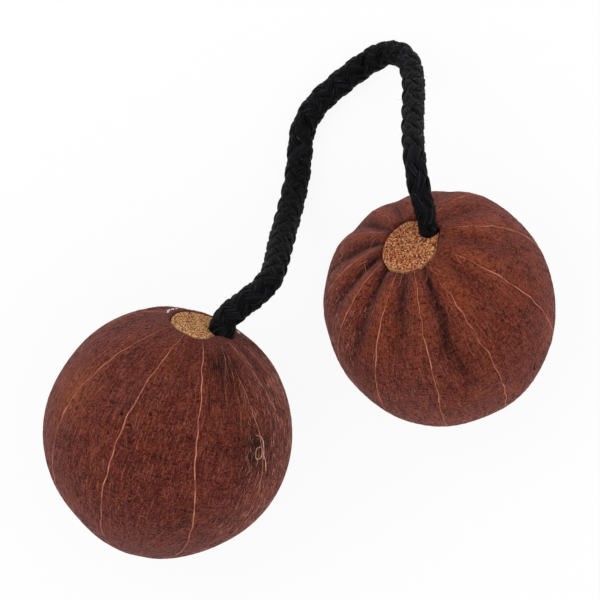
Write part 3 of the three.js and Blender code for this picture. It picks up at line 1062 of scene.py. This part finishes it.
def cord_look():
    """Black yarn: fine filaments along each strand, with painted grey glints along a few of them."""
    look = Look("black_braid", roughness=0.5, sheen=0.02, sheen_tint=srgb(190, 190, 196), specular=0.04)
    strand = look.attribute("strand")
    filaments = look.noise(look.scaled(strand, 0.16, 9.0, 3.7), 1.0, 2, 0.6)
    fine = look.noise(look.scaled(strand, 1.2, 14.0, 9.1), 1.0, 2)
    # Painted grey glints along a few filaments.
    painted_glints = look.between(look.noise(look.scaled(strand, 0.3, 9.0, 5.3), 1.0, 2), 0.66, 0.76)
    colour = look.mix(look.between(filaments, 0.42, 0.68), srgb(3, 3, 4), srgb(34, 34, 37))
    colour = look.laid(colour, srgb(112, 112, 116), painted_glints, 0.6)
    look.colour(colour)
    look.bump((filaments, 0.35 * MM), (fine, 0.12 * MM))
    return look.material


def plain_look(name, first, second, grain, roughness):
    look = Look(name, roughness=roughness)
    place = look.place_mm()
    change = look.noise(place, grain, 3)
    look.colour(look.mix(look.between(change, 0.35, 0.65), first, second))
    look.bump((change, 0.1 * MM))
    return look.material


# The last colour of each skin is the painted shade and dirt in its furrows, and the number sets how strong
# that and the painted rib highlights are.
left_skin = shell_look(
    "left_fruit_skin", srgb(104, 45, 36), srgb(73, 32, 27), srgb(126, 61, 41), srgb(40, 19, 16), 0.6
)
right_skin = shell_look(
    "right_fruit_skin", srgb(118, 52, 38), srgb(84, 36, 28), srgb(150, 72, 45), srgb(38, 18, 15), 0.9
)
vein_skin = vein_look("pale_vein", srgb(198, 128, 106), srgb(142, 82, 65))
fibre_skin = vein_look("skin_fibre", srgb(164, 104, 90), srgb(108, 60, 48))
# Pale fibres for the rims that face each other, partly painted light.
rim_light_fibre = vein_look("rim_light_fibre", srgb(206, 146, 132), srgb(150, 94, 82))
bone_fibre = vein_look("bone_fibre", srgb(226, 186, 164), srgb(170, 122, 104))
dark_fibre = vein_look("dark_fibre", srgb(44, 20, 17), srgb(62, 28, 23))
corks = {
    "left": cork_look("left_cork_grains", srgb(206, 106, 58), srgb(255, 206, 142)),
    "right": cork_look("right_cork_grains", srgb(132, 58, 32), srgb(250, 160, 106)),
}
black_braid = cord_look()
stray_hair = plain_look("stray_hair", srgb(70, 70, 74), srgb(120, 120, 124), 0.5, 0.6)
dry_glue = plain_look("dry_glue", srgb(226, 220, 216), srgb(200, 188, 184), 1.5, 0.45)
seed_skin = plain_look("seed_skin", srgb(134, 86, 50), srgb(96, 56, 32), 0.4, 0.5)

for ball, skin in ((left, left_skin), (right, right_skin)):
    add_shell(ball, skin)
    add_veins(ball, vein_skin)
    add_cork(ball, corks[ball.side])
    add_knot(ball, black_braid, stray_hair)
for ball in (left, right):
    add_fibres(ball, "fibres", fibre_skin, 3000, (34, 168), 0.028 * MM, 0.045 * MM)
    add_fibres(ball, "dark_fibres", dark_fibre, 3000, (20, 168), 0.035 * MM, 0.05 * MM)
add_fibres(
    left, "long_fibres", vein_skin, 36, (17, 40), 0.05 * MM, 0.05 * MM,
    turns=(-62, 30), lengths=(4.0 * MM, 12.0 * MM), slant=0.08,
)
add_fibres(
    left, "dark_bundle", dark_fibre, 80, (22, 42), 0.07 * MM, 0.05 * MM,
    turns=(-74, -42), lengths=(3.0 * MM, 9.0 * MM), slant=0.06,
)
add_fibres(
    right, "long_fibres", vein_skin, 20, (18, 26), 0.05 * MM, 0.05 * MM, lengths=(2.0 * MM, 6.0 * MM)
)
add_scar(bone_fibre)
add_crack(dark_fibre)
add_glue(dry_glue)
add_cord(black_braid, stray_hair)
# Pale fibres crowded on the two rims that face each other: fibres of the skin, and painted light that lifts
# the shade between the fruits.
add_fibres(
    left, "rim_light_fibres", rim_light_fibre, 900, (40, 135), 0.032 * MM, 0.05 * MM,
    turns=(-48, 25), lengths=(0.6 * MM, 2.6 * MM),
)
add_fibres(
    right, "rim_light_fibres", rim_light_fibre, 700, (40, 105), 0.032 * MM, 0.04 * MM,
    turns=(128, 205), lengths=(0.5 * MM, 1.7 * MM),
)

# The seeds keep their CAD solids, rounded, with a skin of their own
for name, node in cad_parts.items():
    if name.startswith("seed_"):
        node.data.materials.clear()
        node.data.materials.append(seed_skin)
        node.modifiers.new("rounded", "SUBSURF").render_levels = 2


# Stage: a floor and background that are white to the eye, and soft light from all round
CAMERA_HEIGHT = 800 * MM
CAMERA_X = 7.1 * MM
CAMERA_Y = 15.7 * MM
CAMERA_TURN = 24.62
PICTURE_WIDTH = 144.36 * MM
PICTURE_LEVEL = 29.5 * MM
SENSOR_WIDTH = 36
FLOOR_HALF = 6.0
FLOOR_GREY = (0.9, 0.9, 0.9, 1)
FLOOR_WHITE_SHARE = 0.9
WHITE = (1, 1, 1, 1)
WORLD_STRENGTH = 0.88


def seen_directly(nodes, links):
    """1 for the rays that show a background: from the camera, and from mirror-like or clear surfaces."""
    path = nodes.new("ShaderNodeLightPath")
    first = nodes.new("ShaderNodeMath")
    first.operation = "MAXIMUM"
    links.new(path.outputs["Is Camera Ray"], first.inputs[0])
    links.new(path.outputs["Is Glossy Ray"], first.inputs[1])
    both = nodes.new("ShaderNodeMath")
    both.operation = "MAXIMUM"
    links.new(first.outputs[0], both.inputs[0])
    links.new(path.outputs["Is Transmission Ray"], both.inputs[1])
    return both.outputs[0]


def add_floor():
    mesh = bpy.data.meshes.new("floor")
    corners = [(x * FLOOR_HALF, y * FLOOR_HALF, 0) for x, y in ((-1, -1), (1, -1), (1, 1), (-1, 1))]
    mesh.from_pydata(corners, [], [(0, 1, 2, 3)])
    material = bpy.data.materials.new("white_floor")
    material.use_nodes = True
    nodes, links = material.node_tree.nodes, material.node_tree.links
    nodes.remove(nodes["Principled BSDF"])
    matt = nodes.new("ShaderNodeBsdfDiffuse")
    matt.inputs["Color"].default_value = FLOOR_GREY
    white = nodes.new("ShaderNodeEmission")
    share = nodes.new("ShaderNodeMath")
    share.operation = "MULTIPLY"
    share.inputs[1].default_value = FLOOR_WHITE_SHARE
    links.new(seen_directly(nodes, links), share.inputs[0])
    mixed = nodes.new("ShaderNodeMixShader")
    links.new(share.outputs[0], mixed.inputs[0])
    links.new(matt.outputs[0], mixed.inputs[1])
    links.new(white.outputs[0], mixed.inputs[2])
    links.new(mixed.outputs[0], nodes["Material Output"].inputs["Surface"])
    new_piece("floor", mesh, material)


def add_world():
    world = bpy.data.worlds.new("studio")
    bpy.context.scene.world = world
    world.use_nodes = True
    nodes, links = world.node_tree.nodes, world.node_tree.links
    light = nodes["Background"]
    light.inputs["Color"].default_value = WHITE
    light.inputs["Strength"].default_value = WORLD_STRENGTH
    shown = nodes.new("ShaderNodeBackground")
    shown.inputs["Color"].default_value = WHITE
    mixed = nodes.new("ShaderNodeMixShader")
    links.new(seen_directly(nodes, links), mixed.inputs[0])
    links.new(light.outputs[0], mixed.inputs[1])
    links.new(shown.outputs[0], mixed.inputs[2])
    links.new(mixed.outputs[0], nodes["World Output"].inputs["Surface"])


def add_lamp(name, place, power, size):
    light = bpy.data.lights.new(name, "AREA")
    light.energy = power
    light.size = size
    lamp = bpy.data.objects.new(name, light)
    lamp.location = place
    lamp.rotation_euler = (-Vector(place)).to_track_quat("-Z", "Y").to_euler()
    bpy.context.scene.collection.objects.link(lamp)


def add_camera():
    data = bpy.data.cameras.new("camera")
    data.sensor_width = SENSOR_WIDTH
    data.lens = SENSOR_WIDTH * (CAMERA_HEIGHT - PICTURE_LEVEL) / PICTURE_WIDTH
    camera = bpy.data.objects.new("camera", data)
    camera.location = (CAMERA_X, CAMERA_Y, CAMERA_HEIGHT)
    camera.rotation_euler = (0, 0, -math.radians(CAMERA_TURN))
    bpy.context.scene.collection.objects.link(camera)
    bpy.context.scene.camera = camera


add_floor()
add_world()
add_lamp("key", place=(-0.45, 0.35, 0.9), power=2.2, size=0.7)
add_lamp("fill", place=(0.6, -0.5, 0.7), power=1.0, size=0.8)
add_lamp("side", place=(0.5, 0.75, 0.45), power=1.2, size=0.8)
add_camera()
bpy.context.scene.view_settings.view_transform = "Standard"
